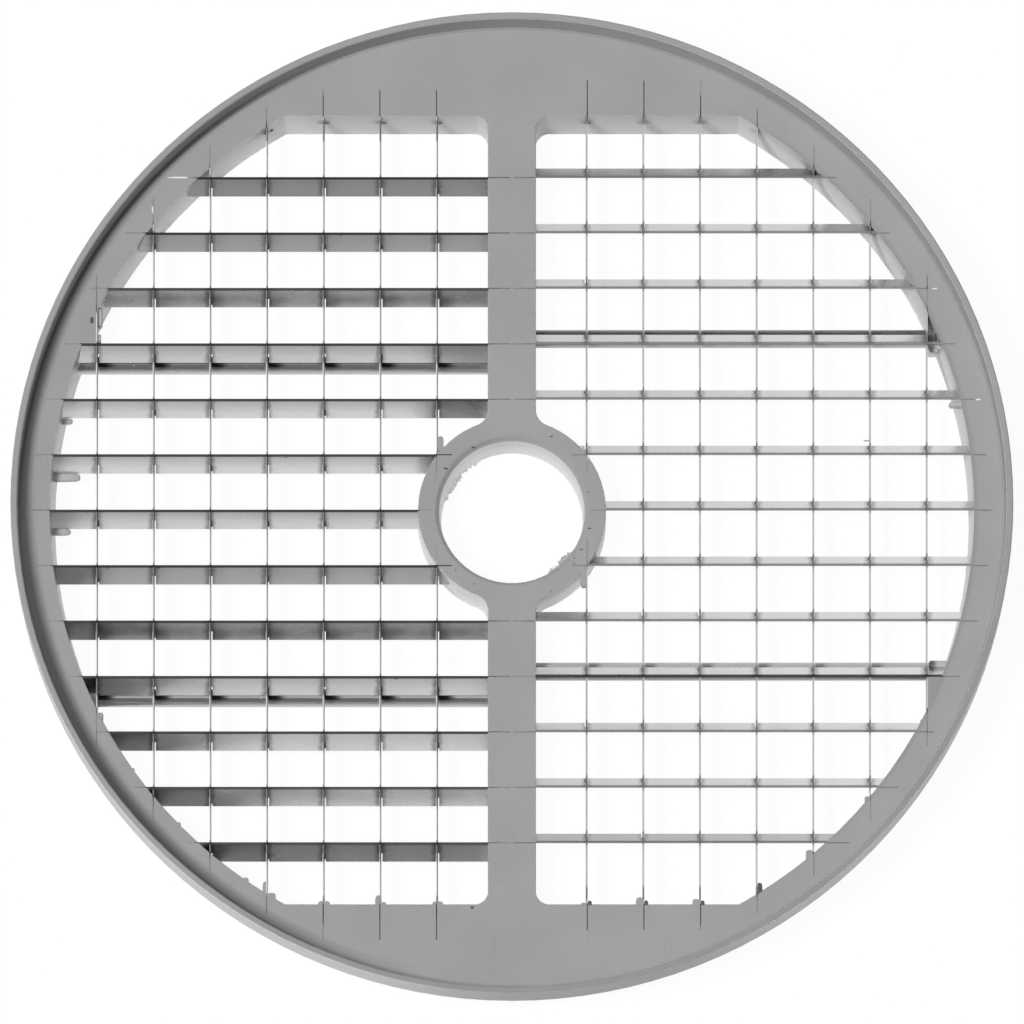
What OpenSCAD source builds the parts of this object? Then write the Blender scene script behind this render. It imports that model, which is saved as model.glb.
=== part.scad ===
// Round dicing grid: a moulded frame that holds two half grids of interlocked strip blades.
// The disc lies flat, cutting face up. Z is the shaft axis, and z = 0 is the back of the frame.
// One half grid is modelled on the left, and the right one is the same half turned half a turn about Z.

/* [Frame] */
// Diameter over the rim
rim_d = 177; // [176:0.5:180]
// Height of the frame from its back to its cutting face
frame_h = 11; // [10:0.5:13]
// Height of the lip above the cutting face
lip_h = 6.4; // [4:0.2:8]
// Thickness of the lip at its top
lip_t = 1.2; // [1:0.1:1.4]
// Thickness of the flange under the lip
flange_t = 1.6; // [1.2:0.1:2.4]
// Width of the seat under the flange
seat_w = 2.1; // [1.6:0.1:2.2]

/* [Windows] */
// Radius of the round side of a window at the cutting face
window_r = 81.6; // [80.7:0.1:82]
// Distance from the centre to the flat sides of a window at the cutting face
flat_y = 71.1; // [70:0.1:72]
// Lean of the outer window walls, from the cutting face to the back
wall_draft = 1; // [0.4:0.1:1.4]
// Width of the spoke
spoke_w = 8.5; // [7:0.1:10]
// Radius of the window corners beside the spoke
corner_r = 2.4; // [1.2:0.1:4]

/* [Hub] */
// Diameter of the hub
hub_d = 33.2; // [32:0.2:33.4]
// Diameter of the shaft bore
bore_d = 25.2; // [24:0.2:25.4]
// Radius of the rounding at the front of the bore
bore_round = 1; // [0.4:0.1:1.1]
// Radius of the blend between hub and spoke
blend_r = 3; // [2:0.5:5]

/* [Blades] */
// Spacing of the blades both ways, which is the size of the dice
pitch = 10; // [9.9:0.1:10.1]
// Thickness of the blade strip
blade_t = 0.35; // [0.3:0.05:0.5]
// Depth of the blades below the cutting face
blade_depth = 4.4; // [3.6:0.1:4.7]
// Lean of a row blade over its depth
row_lean = 2.3; // [0.6:0.05:2.5]
// Angle of the ground edge of a row blade to its side
edge_angle = 33; // [28:1:45]
// Angle of the ground edge of a cross blade to its side
cross_edge_angle = 18; // [15:1:40]
// Width of the blunt tip that stays on the ground edge
tip_land = 0.15; // [0.1:0.05:0.2]
// Distance from the centre to the cross blade nearest the hub
first_cross_x = 13.2; // [13.1:0.1:13.6]
// Spare width of the lap slots in the row blades
lap_spare = 0.15; // [0.1:0.05:0.4]

/* [Rods] */
// Diameter of the support rods
rod_d = 3.2; // [2.4:0.1:3.4]
// Distance from the backs of the blades to the rods
rod_drop = 1.2; // [0.2:0.1:1.6]
// Rows between the centre and the row that a rod lies behind
rod_row = 3; // [3:1:4]

/* [Hidden] */
$fn = 96;

// Counts that belong to this size of disc
row_count = 13;
cross_count = 7;

// Rows that a rod lies behind, upper and lower
middle_row = (row_count - 1) / 2;
upper_rod_row = middle_row - rod_row;
lower_rod_row = middle_row + rod_row;

// Heights
face_z = frame_h;
flange_z = face_z - flange_t;
lip_z = face_z + lip_h;
lap_z = face_z - blade_depth / 2;

// Radii of the frame's section
rim_r = rim_d / 2;
lip_lean = 0.3;
body_r = rim_r - lip_lean - seat_w;
body_lean = 0.8;
bore_r = bore_d / 2;
hub_r = hub_d / 2;
edge_chamfer = 0.5;
lip_chamfer = 0.2;
foot_chamfer = 0.4;

// How far the moulding holds the ends of the blades and rods
blade_seat_r = 84.6;
cross_tip_far = 77.5;
cross_tip_near = 75.7;
spoke_end = 0.3;
hub_end_beside = 10.6;
hub_end_centre = 14;
hub_tip_far = 7;
hub_tip_near = 5.2;
rod_seat_r = 83.6;
rod_spoke_end = 0.9;

// Height of the rod bosses above the backs of the blades
boss_rise = 0.6;

// Clearances: blades in the moulding, blades in each other
seat_gap = 0.02;
lap_gap = 0.04;

// Sizes of the slanted strip, across its width
row_width = norm([row_lean, blade_depth]);
lean_ratio = row_lean / blade_depth;
side_ratio = row_width / blade_depth;
edge_length = (blade_t - tip_land) / tan(edge_angle);
cross_edge_length = (blade_t - tip_land) / tan(cross_edge_angle);
rod_z = face_z - blade_depth - rod_drop - rod_d / 2;

// Small overlap that lets round cuts cross flat walls instead of just touching them
bite = 0.02;
clear = 1;

moulding_grey = [0.63, 0.63, 0.63];
blade_steel = [0.78, 0.79, 0.8];
rod_steel = [0.72, 0.73, 0.74];

half_names = ["left", "right"];

// Places of the blades in the left half, rows from the top and cross blades from the hub.
// A row's place is the upper side of its tip, with the tip centred on the pitch.
function row_y(row) = (middle_row - row) * pitch + side_ratio * tip_land / 2;
function cross_x(col) = -(first_cross_x + col * pitch);
function chord(r, offset) = sqrt(r * r - offset * offset);
function lean_y(y, z) = y - (face_z - z) * lean_ratio;

// Outer and inner end of a row blade, as distances from the centre line
function row_outer(row) = chord(blade_seat_r, max(abs(row_y(row)), abs(row_y(row) - row_lean)));
function row_inner(row) =
    row == middle_row ? hub_end_centre :
    abs(row_y(row)) < hub_r ? hub_end_beside :
    spoke_end;

// Upper and lower end of a cross blade
function cross_top(col) = min(cross_tip_near, chord(blade_seat_r, cross_x(col)));
function cross_bottom(col) = -min(cross_tip_far, chord(blade_seat_r, cross_x(col)));

// Point on the rounded mouth of the bore, from the cutting face down to the wall
function bore_mouth(a) = [bore_r + bore_round * (1 - sin(a)), face_z - bore_round * (1 - cos(a))];

// Section of the frame from the bore to the rim
module frame_section() {
    polygon([
        [bore_r, edge_chamfer],
        [bore_r + edge_chamfer, 0],
        [body_r - body_lean - edge_chamfer, 0],
        [body_r - body_lean, edge_chamfer],
        [body_r, flange_z],
        [rim_r - lip_lean, flange_z],
        [rim_r, lip_z - lip_chamfer],
        [rim_r - lip_chamfer, lip_z],
        [rim_r - lip_t + lip_chamfer, lip_z],
        [rim_r - lip_t, lip_z - lip_chamfer],
        [rim_r - lip_t - lip_lean, face_z + foot_chamfer],
        [rim_r - lip_t - lip_lean - foot_chamfer, face_z],
        each [for (a = [0 : 22.5 : 90]) bore_mouth(a)]
    ]);
}

// Outline of a window beside the spoke, with its rounded upper corner at the origin of Y
module window_outline() {
    difference() {
        translate([spoke_w / 2, -flat_y - clear])
            square([rim_r, flat_y + clear]);
        difference() {
            translate([spoke_w / 2, -corner_r])
                square(corner_r);
            translate([spoke_w / 2 + corner_r - bite, bite - corner_r])
                circle(corner_r);
        }
    }
}

// Upper part of a window, leaning in towards the back
module window_upper() {
    slope = wall_draft / frame_h;
    reach = frame_h + clear + (flat_y + clear) * slope;
    translate([0, flat_y, face_z])
        rotate([-atan(slope), 0, 0])
            translate([0, 0, -reach])
                linear_extrude(reach + clear)
                    window_outline();
}

// Hub with its blends into the spoke, kept clear of the window
module hub_keep() {
    blend_x = spoke_w / 2 + blend_r - bite;
    blend_y = chord(hub_r + blend_r - bite, blend_x);
    touch = [blend_x, blend_y] * hub_r / (hub_r + blend_r);
    translate([0, 0, -clear])
        linear_extrude(frame_h + 2 * clear) {
            circle(hub_r);
            for (side = [0, 1])
                mirror([0, side])
                    difference() {
                        polygon([[0, touch.y], [touch.x, touch.y], [blend_x, blend_y], [0, blend_y]]);
                        translate([blend_x, blend_y])
                            circle(blend_r);
                    }
        }
}

// Window beside the spoke, before its narrow corners are closed
module open_window() {
    slope = wall_draft / frame_h;
    difference() {
        intersection() {
            translate([0, 0, -clear])
                cylinder(
                    r1 = window_r - wall_draft - clear * slope,
                    r2 = window_r + clear * slope,
                    h = frame_h + 2 * clear
                );
            union() {
                window_upper();
                mirror([0, 1, 0])
                    window_upper();
            }
        }
        hub_keep();
    }
}

// Block along X from the rim to the outermost cross blade, drawn in Y and Z
module corner_block() {
    translate([-rim_r, 0, 0])
        rotate([90, 0, 90])
            linear_extrude(rim_r + cross_x(cross_count - 1))
                children();
}

// Web that closes the narrow cell over the upper rod, flush with the cutting face
module corner_web() {
    y = row_y(upper_rod_row);
    top = face_z + 2 * clear;
    foot = face_z - blade_depth;
    corner_block()
        polygon([[lean_y(y, top), top], [lean_y(y, foot), foot], [y + pitch, foot], [y + pitch, top]]);
}

// Boss that closes the back of the narrow cell under the lower rod's row and holds the rod's end
module rod_boss() {
    y = row_y(lower_rod_row);
    corner_block()
        translate([y - pitch, -2 * clear])
            square([pitch, 2 * clear + face_z - blade_depth + boss_rise]);
}

// Left-hand window
module window() {
    difference() {
        mirror([1, 0, 0])
            open_window();
        corner_web();
        rod_boss();
    }
}

// Section of a row blade with its single ground bevel. A seat is grown by gap and opened upwards by rise.
module row_section(row, gap, rise) {
    y = row_y(row);
    tip_front = y + gap * side_ratio;
    tip_back = y - (tip_land + gap) * side_ratio;
    function side(depth, across) = [
        y - depth * row_lean / row_width - across * blade_depth / row_width,
        face_z - depth * blade_depth / row_width + across * row_lean / row_width
    ];
    polygon([
        [tip_front, face_z],
        side(row_width + gap, -gap),
        side(row_width + gap, blade_t + gap),
        side(edge_length, blade_t + gap),
        [tip_back, face_z],
        each rise > 0 ? [[tip_back, face_z + rise], [tip_front, face_z + rise]] : []
    ]);
}

// Row blade without its slots, lengthened by gap at both ends
module row_strip(row, gap, rise) {
    translate([-row_outer(row) - gap, 0, 0])
        rotate([90, 0, 90])
            linear_extrude(row_outer(row) - row_inner(row) + 2 * gap)
                row_section(row, gap, rise);
}

// Section of a cross blade, ground on the side towards the spoke
module cross_section(gap, rise) {
    outside = -blade_t / 2 - gap;
    inside = blade_t / 2 + gap;
    tip_inside = -blade_t / 2 + tip_land + gap;
    foot = face_z - blade_depth - gap;
    polygon([
        [outside, face_z + rise],
        [outside, foot],
        [inside, foot],
        [inside, face_z - cross_edge_length],
        [tip_inside, face_z],
        each rise > 0 ? [[tip_inside, face_z + rise]] : []
    ]);
}

// Cross blade without its slots between two heights in Y, lengthened by gap at both ends
module cross_strip(col, bottom, top, gap, rise) {
    translate([cross_x(col), top + gap, 0])
        rotate([90, 0, 0])
            linear_extrude(top - bottom + 2 * gap)
                cross_section(gap, rise);
}

// Slot for a cross blade, open at the back edge of a row blade
module row_slot(row, col) {
    width = blade_t + 2 * lap_gap + lap_spare;
    translate([cross_x(col) - blade_t / 2 - lap_gap, row_y(row) - row_lean - clear, 0])
        cube([width, row_lean + 2 * clear, lap_z + lap_gap]);
}

// Slanted slot for a row blade, open at the front edge of a cross blade
module cross_slot(row, col) {
    top = face_z + clear;
    floor_z = lap_z - lap_gap;
    near = lap_gap * side_ratio;
    far = (blade_t + lap_gap) * side_ratio;
    y = row_y(row);
    translate([cross_x(col) - clear, 0, 0])
        rotate([90, 0, 90])
            linear_extrude(2 * clear)
                polygon([
                    [lean_y(y, top) + near, top],
                    [lean_y(y, floor_z) + near, floor_z],
                    [lean_y(y, floor_z) - far, floor_z],
                    [lean_y(y, top) - far, top]
                ]);
}

// Rod along X, behind the middle of a row's back edge
module rod_bar(row, gap) {
    y = row_y(row) - row_lean - blade_t / 2;
    outer = chord(rod_seat_r, abs(y) + rod_d / 2);
    translate([-outer - gap, y, rod_z])
        rotate([0, 90, 0])
            cylinder(d = rod_d + 2 * gap, h = outer - rod_spoke_end + 2 * gap);
}

// Seats that the moulding forms round the ends of one half grid
module half_seats() {
    for (row = [0 : row_count - 1])
        row_strip(row, seat_gap, clear);
    cross_strip(0, hub_tip_near, cross_top(0), seat_gap, clear);
    cross_strip(0, cross_bottom(0), -hub_tip_far, seat_gap, clear);
    for (col = [1 : cross_count - 1])
        cross_strip(col, cross_bottom(col), cross_top(col), seat_gap, clear);
    rod_bar(upper_rod_row, seat_gap);
    rod_bar(lower_rod_row, seat_gap);
}

// Places what is modelled on the left into the left or the right half
module in_half(half) {
    rotate([0, 0, half == "left" ? 0 : 180])
        children();
}

module frame() {
    color(moulding_grey)
        difference() {
            rotate_extrude()
                frame_section();
            for (half = half_names)
                in_half(half) {
                    window();
                    half_seats();
                }
        }
}

module row_blade(row) {
    color(blade_steel)
        difference() {
            row_strip(row, 0, 0);
            for (col = [0 : cross_count - 1])
                if (-cross_x(col) < row_outer(row) && -cross_x(col) + blade_t > row_inner(row))
                    row_slot(row, col);
        }
}

module cross_blade(col, bottom, top) {
    color(blade_steel)
        difference() {
            cross_strip(col, bottom, top, 0, 0);
            for (row = [0 : row_count - 1])
                if (-cross_x(col) - blade_t < row_outer(row))
                    cross_slot(row, col);
        }
}

module support_rod(row) {
    color(rod_steel)
        rod_bar(row, 0);
}

frame();

for (half = half_names, k = [1 : row_count])
    in_half(half) row_blade(half == "left" ? k - 1 : row_count - k);

for (half = half_names, k = [2 : cross_count])
    in_half(half) cross_blade(k - 1, cross_bottom(k - 1), cross_top(k - 1));

for (half = half_names, end = ["upper", "lower"]) {
    above = (half == "left") == (end == "upper");
    bottom = above ? hub_tip_near : cross_bottom(0);
    top = above ? cross_top(0) : -hub_tip_far;
    in_half(half) cross_blade(0, bottom, top);
    in_half(half) support_rod(above ? upper_rod_row : lower_rod_row);
}
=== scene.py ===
"""Round dicing grid: a moulded frame that holds two half grids of interlocked steel strips."""
import math
import random

import bmesh
import bpy
from bpy.props import FloatProperty, FloatVectorProperty, IntProperty, PointerProperty
from bpy.types import Operator, Panel, PropertyGroup
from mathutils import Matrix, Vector


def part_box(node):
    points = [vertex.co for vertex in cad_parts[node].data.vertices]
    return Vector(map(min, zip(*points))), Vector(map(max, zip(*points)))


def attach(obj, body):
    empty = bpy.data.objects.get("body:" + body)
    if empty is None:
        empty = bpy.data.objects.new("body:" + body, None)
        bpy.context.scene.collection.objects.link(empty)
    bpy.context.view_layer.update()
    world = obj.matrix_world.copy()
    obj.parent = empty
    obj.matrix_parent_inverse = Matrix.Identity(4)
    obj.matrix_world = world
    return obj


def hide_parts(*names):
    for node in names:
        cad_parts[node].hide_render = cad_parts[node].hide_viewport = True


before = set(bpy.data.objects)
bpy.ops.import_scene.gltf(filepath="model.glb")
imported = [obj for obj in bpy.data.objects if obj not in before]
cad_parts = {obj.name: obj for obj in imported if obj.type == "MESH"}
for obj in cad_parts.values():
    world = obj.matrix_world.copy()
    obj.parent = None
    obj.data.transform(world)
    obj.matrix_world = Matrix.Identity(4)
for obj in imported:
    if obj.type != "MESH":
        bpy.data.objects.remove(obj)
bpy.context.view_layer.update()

bl_info = {
    "name": "Round Dicing Grid",
    "version": (1, 0, 0),
    "blender": (4, 5, 0),
    "location": "3D View > Sidebar > Dicing Grid",
    "description": "Finishes the moulded frame, the strip blades and the rods of a dicing grid",
    "category": "Object",
}

MM = 0.001
BODY = "root"
ROWS = [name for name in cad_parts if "_blade_" in name and "_cross_" not in name]
CROSSES = [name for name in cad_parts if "_cross_blade_" in name]
RODS = [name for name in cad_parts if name.startswith("support_rod_")]
FACE_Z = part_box("left_blade_7")[1].z
STRIP_FOOT_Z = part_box("left_cross_blade_3")[0].z
LIP_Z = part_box("frame")[1].z
RIM_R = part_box("frame")[1].x

# Sizes of the frame at its cutting face, in metres
WINDOW_R = 81.6 * MM
FLAT_Y = 71.1 * MM
SPOKE_HALF = 4.25 * MM
HUB_R = 16.6 * MM
BORE_R = 12.6 * MM
BORE_ROUND = 1.0 * MM
MOUTH_R = BORE_R + BORE_ROUND
WEB_X = 73.0 * MM
FIRST_CROSS_X = 13.2 * MM
PITCH = 10.0 * MM

# The finished bore: depth and ease of its rounded mouth, and how much it narrows towards the back
MOUTH_DEPTH = 2.4 * MM
MOUTH_EASE = 0.2 * MM
MOUTH_SHARE = 0.8
BORE_TAPER = 0.15 * MM

# The table is a slab, so that level views from beside its top see white below it too
TABLE_SIDE = 60.0
TABLE_DEPTH = 0.3
# Share of plain light that the open table gets, and the width of the lamp beside the camera
OPEN_LIGHT = 0.95
FRONT_SOFT = math.radians(8)

# Plastic that squeezed out of the mould: middle and size in millimetres
LUGS = (
    ((-79.2, 6.9, 6.1), (6.0, 1.5, 1.3)),
    ((-79.2, 17.0, 6.1), (3.4, 1.0, 1.1)),
    ((-79.9, -2.95, 6.1), (4.2, 1.2, 1.1)),
    ((78.9, 19.3, 9.2), (3.6, 1.0, 2.2)),
    ((75.3, -26.9, 6.3), (3.4, 1.4, 1.6)),
    ((74.5, 29.6, 6.9), (1.6, 0.8, 1.8)),
)
NUBS = (
    ((-72.65, 35.1, 8.6), (0.9, 3.6, 2.8)),
    ((-72.85, 31.2, 9.0), (0.8, 1.6, 2.4)),
    ((-72.6, -37.2, 9.4), (1.0, 1.7, 2.8)),
    ((72.3, -38.1, 9.6), (0.5, 1.1, 1.4)),
    ((62.6, 12.75, 9.9), (1.1, 0.2, 0.2)),
)
# The same plastic where it lies flush with the cutting face: middle and size in plan, and depth
TAB_DEPTH = 1.4
TABS = (
    ((-43.5, -68.4), (0.95, 2.8)),
    ((-42.4, -69.7), (1.5, 1.3)),
    ((-33.15, -71.1), (2.1, 1.2)),
    ((-23.55, -70.7), (1.15, 2.5)),
    ((-22.6, -71.1), (0.8, 0.8)),
    ((-13.1, -71.1), (1.9, 1.1)),
    ((12.75, -71.1), (1.1, 0.6)),
    ((22.55, -71.0), (1.35, 2.3)),
    ((32.5, -71.0), (1.3, 1.7)),
    ((52.5, -62.3), (1.3, 2.0)),
    ((62.7, -52.3), (0.9, 1.3)),
    ((-67.05, -46.95), (1.0, 0.9)),
    ((-58.95, -56.75), (1.1, 0.9)),
    ((-47.1, -66.75), (1.3, 0.9)),
    ((-12.6, 12.0), (1.1, 2.7)),
    ((12.66, -12.1), (1.26, 3.4)),
)
DARK_TABS = (
    ((13.75, -71.2), (0.75, 1.5)),
    ((23.7, -71.2), (0.75, 1.6)),
    ((33.65, -71.2), (0.75, 1.5)),
    ((43.75, -68.3), (0.95, 2.1)),
)
# Dark lumps painted as the shade in voids and pockets of the plastic where the strips leave it, and stains on the
# cutting face in plan
SHADED_VOIDS = (
    ((-43.9, 68.75, 7.6), (1.2, 0.8, 0.8)),
    ((-42.5, 69.35, 7.2), (0.9, 0.7, 0.9)),
    ((-32.7, 70.72, 6.7), (1.4, 0.25, 0.7)),
    ((-22.6, 70.72, 6.7), (1.4, 0.25, 0.7)),
    ((-12.7, 70.72, 6.7), (1.2, 0.25, 0.6)),
    ((13.5, 70.72, 6.8), (1.1, 0.25, 0.6)),
    ((-74.1, 34.25, 10.98), (0.9, 1.6, 0.1)),
    ((74.95, 32.3, 8.4), (0.7, 1.5, 3.0)),
    ((74.35, 33.6, 8.0), (0.7, 1.4, 2.6)),
)
FACE_MARKS = (
    ((-6.8, 11.3), (0.8, 0.4)),
    ((-11.7, 7.5), (1.1, 0.55)),
    ((7.0, 13.3), (0.85, 0.4)),
    ((13.4, 3.3), (0.38, 0.42)),
    ((13.7, -3.3), (1.0, 0.4)),
    ((12.3, -7.1), (1.1, 0.3)),
    ((11.0, -8.6), (0.45, 0.35)),
    ((11.0, -9.6), (0.45, 0.35)),
    ((-9.9, -10.8), (0.36, 0.44)),
    ((-6.6, -13.3), (0.4, 0.36)),
    ((7.0, -14.7), (0.36, 0.36)),
    ((-7.0, -71.7), (0.9, 0.7)),
)
# Painted glints on the embedded edges of the strips, in plan
GLINTS = (
    ((-58.9, 60.0), (3.4, 0.3)),
    ((-63.4, 54.2), (0.25, 1.3)),
    ((74.6, 39.95), (0.9, 0.25)),
    ((82.3, 19.95), (0.9, 0.3)),
)
# Rows painted darker or lighter for the reflections they show: the share of their brightness that is left, and
# how much painted shade darkens their tops
LEFT_ROW_LIGHT = (
    (0.4, 0.0), (0.55, 0.0), (1.0, 0.0), (0.88, 0.25), (1.0, 0.25), (1.04, 0.25), (0.98, 0.25),
    (0.62, 0.0), (0.82, 0.0), (0.92, 0.2), (1.0, 0.15), (1.15, 0.0), (1.15, 0.0))
ROW_LIGHT = {f"left_blade_{number}": row_look for number, row_look in enumerate(LEFT_ROW_LIGHT, 1)}
ROW_LIGHT.update({"right_blade_1": (0.6, 0.0), "right_blade_13": (0.66, 0.0)})
# The one row on the right whose cutting edge is not dulled, and how far the others are
KEEN = "right_blade_10"
DULLED = 0.5
# How much paler the cross edges on the left are, and how much darker the rods on the right are painted for the
# darker reflections they show
PALE_EDGE = 1.35
RIGHT_ROD_SHADE = 0.5
# Tones of painted shade and a dark band on the plastic, of its specks, scuffs and parting line; of painted shade
# and reflection, darker laps, ground edges and plastic skin on the strips; and of painted reflections and
# highlight on the rods
SHADE_AND_BAND_DARK, SPECK, SCUFF, WITNESS_LINE = 0.012, 0.045, 0.2, 0.12
STRIP_SHADE_AND_REFLECTION, LAP_DARK, GROUND, FILM = 0.07, 0.08, 0.4, 0.31
MIRRORED, CREST_HIGHLIGHT, PALE_REFLECTION = 0.02, 0.5, 0.6
# Strength and depth of the fine grain
PLASTIC_GRAIN = (0.35, 0.03 * MM)
STEEL_GRAIN = (0.25, 0.02 * MM)
# Streaks and smears of the strips, and of the rods
STRIP_STREAKS = (0.16, 0.12)
ROD_STREAKS = (0.22, 0.16)
# Dark lump in a lap slot, in millimetres: its middle from where the edges cross, its size, and the bare laps by
# side
LAP_OFFSET = (-0.26, 1.72, -3.3)
LAP_SIZE = (0.5, 1.4, 1.1)
LAP_BARE = {-1: 0.5, 1: 0.06}
# Rods: how plain the painted reflections of the blades, the painted highlight on the crest, and the painted pale
# reflections on the top and sole are, and where the sole starts
ROD_LOOKS = {
    "support_rod_left_upper": (0.95, 0.0, 0.0, 0.0, -0.35),
    "support_rod_left_lower": (0.95, 0.8, 0.0, 0.0, -0.35),
    "support_rod_right_upper": (0.0, 0.0, 0.0, 0.8, -0.35),
    "support_rod_right_lower": (0.0, 0.0, 0.9, 0.25, -0.8),
}


class MouldingSettings(PropertyGroup):
    tone: FloatVectorProperty(
        name="Plastic", description="Colour of the moulded plastic",
        subtype="COLOR", size=3, min=0, max=1, default=(0.358, 0.358, 0.358))
    # Painted light: the walls below the cutting face take this paler tone for the light they get from the white
    # table below.
    lit_wall_tone: FloatVectorProperty(
        name="Walls", description="Colour of the plastic as it left the mould, away from the worked face",
        subtype="COLOR", size=3, min=0, max=1, default=(0.64, 0.64, 0.64))
    # Painted light: the walls round the bore and hub and at the left of the grid take this palest tone, for the
    # table's light that falls most on them.
    brightly_lit_tone: FloatVectorProperty(
        name="Pale Walls", description="Colour of the plastic round the bore and hub and at the left of the grid",
        subtype="COLOR", size=3, min=0, max=1, default=(0.92, 0.92, 0.92))
    mottle: FloatProperty(
        name="Mottle", description="How far the plastic's tone drifts over the surface",
        subtype="FACTOR", min=0, max=1, default=0.1)
    specks: FloatProperty(
        name="Specks", description="How dark the specks of food stain are",
        subtype="FACTOR", min=0, max=1, default=0.45)
    edge_round: FloatProperty(
        name="Edge Round", description="Width of the rounded edges of the windows",
        subtype="DISTANCE", unit="LENGTH", min=0, max=0.001, default=0.0002)


class BladeSettings(PropertyGroup):
    steel: FloatVectorProperty(
        name="Strip Steel", description="Colour of the strip blades",
        subtype="COLOR", size=3, min=0, max=1, default=(0.66, 0.66, 0.66))
    rod_steel: FloatVectorProperty(
        name="Rod Steel", description="Colour of the support rods",
        subtype="COLOR", size=3, min=0, max=1, default=(0.52, 0.52, 0.52))
    ground_depth: FloatProperty(
        name="Ground Depth", description="Depth of the ground band below the cutting edge",
        subtype="DISTANCE", unit="LENGTH", min=0, max=0.002, default=0.00042)
    cross_edge: FloatVectorProperty(
        name="Cross Edges", description="Colour of the dulled edges of the cross blades",
        subtype="COLOR", size=3, min=0, max=1, default=(0.64, 0.64, 0.64))


class FlashSettings(PropertyGroup):
    tone: FloatVectorProperty(
        name="Flash", description="Colour of the plastic that squeezed out round the strips",
        subtype="COLOR", size=3, min=0, max=1, default=(0.36, 0.36, 0.36))
    # Painted light: the lugs and nubs below the cutting face take this paler tone for the light from the table
    # below.
    lug_lit_tone: FloatVectorProperty(
        name="Lugs", description="Colour of that plastic below the cutting face",
        subtype="COLOR", size=3, min=0, max=1, default=(0.47, 0.47, 0.47))
    # Colour of the dark lumps set in the lap slots.
    lap_fill_tone: FloatVectorProperty(
        name="Lap Fill", description="Colour of the residue in the laps",
        subtype="COLOR", size=3, min=0, max=1, default=(0.24, 0.24, 0.24))
    # Painted shade: this colour also stands for the shade in the voids round the strips.
    dark_tone: FloatVectorProperty(
        name="Marks", description="Colour of the voids and stains",
        subtype="COLOR", size=3, min=0, max=1, default=(0.11, 0.11, 0.11))
    # Painted glints: the colour of the bright places painted on the embedded edges.
    glint_tone: FloatVectorProperty(
        name="Glints", description="Colour of the bare places on the embedded edges",
        subtype="COLOR", size=3, min=0, max=1, default=(0.85, 0.85, 0.85))
    raggedness: FloatProperty(
        name="Raggedness", description="How far the flash departs from a smooth shape",
        subtype="DISTANCE", unit="LENGTH", min=0, max=0.001, default=0.00018)
    burr: FloatProperty(
        name="Burr", description="Reach of the ragged burrs at the bore",
        subtype="DISTANCE", unit="LENGTH", min=0, max=0.003, default=0.0008)
    seed: IntProperty(
        name="Seed", description="Choice of the uneven shapes", min=0, max=999, default=7)


class StageSettings(PropertyGroup):
    tilt: FloatProperty(
        name="Tilt", description="Angle of the camera from straight above",
        subtype="ANGLE", unit="ROTATION", min=0, max=math.pi / 2, default=math.radians(12))
    width: FloatProperty(
        name="Width", description="Width of the picture",
        subtype="DISTANCE", unit="LENGTH", min=0.05, max=1, default=0.1807)
    distance: FloatProperty(
        name="Distance", description="Distance of the parallel camera from the point it aims at",
        subtype="DISTANCE", unit="LENGTH", min=0.3, max=10, default=1)
    aim: FloatVectorProperty(
        name="Aim", description="Point in the middle of the picture",
        subtype="XYZ", unit="LENGTH", size=3, default=(0.00002, -0.00034, 0.011))
    key_turn: FloatProperty(
        name="Key Turn", description="Direction that the key light comes from, turned from +X",
        subtype="ANGLE", unit="ROTATION", min=-math.pi, max=math.pi, default=math.radians(-157))
    key_rise: FloatProperty(
        name="Key Rise", description="Height of the key light above the floor",
        subtype="ANGLE", unit="ROTATION", min=0, max=math.pi / 2, default=math.radians(69.5))
    key_soft: FloatProperty(
        name="Key Softness", description="Width of the key light as seen from the table",
        subtype="ANGLE", unit="ROTATION", min=0, max=math.pi, default=math.radians(14))
    key_level: FloatProperty(
        name="Key Level", description="Share of the light on the face that the key light gives",
        subtype="FACTOR", min=0, max=2, default=0.73)
    front_level: FloatProperty(
        name="Front Level", description="Share of the light on the face from the lamp beside the camera",
        subtype="FACTOR", min=0, max=2, default=0.14)
    room_level: FloatProperty(
        name="Room Level", description="Level of the even light from the room",
        subtype="FACTOR", min=0, max=2, default=0.13)
    floor: FloatVectorProperty(
        name="Floor", description="Colour of the table",
        subtype="COLOR", size=3, min=0, max=1, default=(0.9, 0.9, 0.9))
    shadow: FloatProperty(
        name="Shadow", description="Share of the table's white that the object's shadow takes away",
        subtype="FACTOR", min=0, max=1, default=0.05)


class DicingGridSettings(PropertyGroup):
    moulding: PointerProperty(type=MouldingSettings)
    blades: PointerProperty(type=BladeSettings)
    flash: PointerProperty(type=FlashSettings)
    stage: PointerProperty(type=StageSettings)


def settings():
    return bpy.context.scene.dicing_grid


def new_object(name, data):
    """New object, linked to the scene."""
    item = bpy.data.objects.new(name, data)
    bpy.context.scene.collection.objects.link(item)
    return item


def new_material(name):
    """New material, and its tree."""
    material = bpy.data.materials.new(name)
    material.use_nodes = True
    return material, material.node_tree


def to_mesh(shape, name):
    """Mesh of a finished shape, which is freed."""
    mesh = bpy.data.meshes.new(name)
    shape.to_mesh(mesh)
    shape.free()
    return mesh


def colour(value):
    return (*value, 1)


def grey(level):
    return (level, level, level, 1)


def add(tree, kind, inputs=None, **options):
    """New node in a tree. Inputs are constants or sockets, by name or place."""
    node = tree.nodes.new(kind)
    for name, value in options.items():
        setattr(node, name, value)
    for name, value in (inputs or {}).items():
        if isinstance(value, bpy.types.NodeSocket):
            tree.links.new(value, node.inputs[name])
        else:
            node.inputs[name].default_value = value
    return node


def math_node(tree, operation, first, second=0.0, third=0.0):
    return add(tree, "ShaderNodeMath", {0: first, 1: second, 2: third}, operation=operation).outputs[0]


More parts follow.
